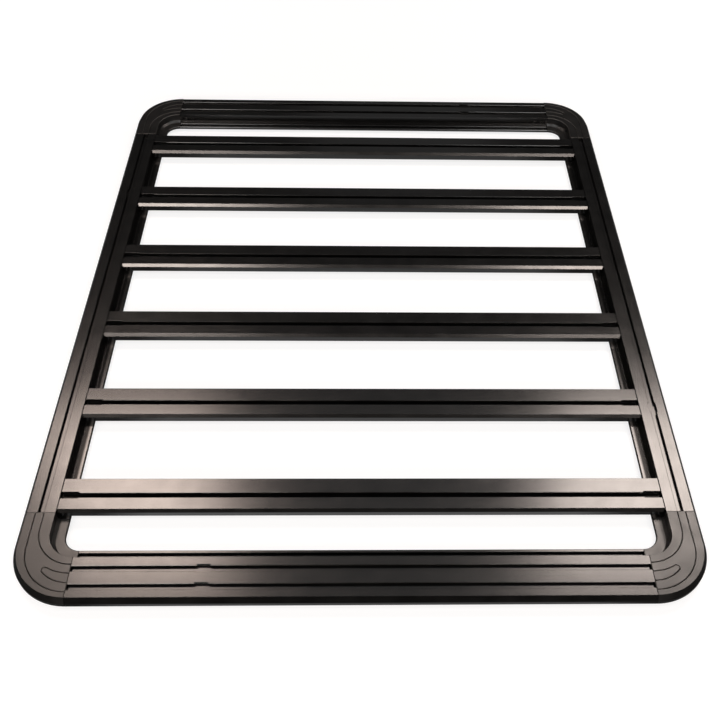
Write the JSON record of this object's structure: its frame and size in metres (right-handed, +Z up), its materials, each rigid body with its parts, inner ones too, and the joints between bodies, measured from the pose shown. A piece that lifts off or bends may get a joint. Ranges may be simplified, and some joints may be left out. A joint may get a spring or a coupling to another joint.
{
  "type": "roof rack platform",
  "caption": "Flat open roof rack platform of hollow slotted rails with moulded rounded corners and slotted cross slats that rest on an inner ledge.",
  "frame": {"origin": "on the floor under the middle of the rack", "axes": "+X to the rack's right, +Y to its rear along its length, +Z up"},
  "size_m": [1.242, 1.533, 0.0358],
  "materials": {
    "coated_aluminium": "satin black powder coat",
    "moulded_corner": "fine textured black moulding",
    "plated_steel": "zinc plated"
  },
  "bodies": {
    "root": {"front_rail": "coated_aluminium", "rear_rail": "coated_aluminium", "left_rail": "coated_aluminium", "right_rail": "coated_aluminium", "slat_1": "coated_aluminium", "slat_2": "coated_aluminium", "slat_3": "coated_aluminium", "slat_4": "coated_aluminium", "slat_5": "coated_aluminium", "slat_6": "coated_aluminium", "corner_front_left": "moulded_corner", "corner_front_right": "moulded_corner", "corner_rear_left": "moulded_corner", "corner_rear_right": "moulded_corner", "slat_1_left_nut_plate": "plated_steel", "slat_1_right_nut_plate": "plated_steel", "slat_2_left_nut_plate": "plated_steel", "slat_2_right_nut_plate": "plated_steel", "slat_3_left_nut_plate": "plated_steel", "slat_3_right_nut_plate": "plated_steel", "slat_4_left_nut_plate": "plated_steel", "slat_4_right_nut_plate": "plated_steel", "slat_5_left_nut_plate": "plated_steel", "slat_5_right_nut_plate": "plated_steel", "slat_6_left_nut_plate": "plated_steel", "slat_6_right_nut_plate": "plated_steel"}
  },
  "joints": []
}
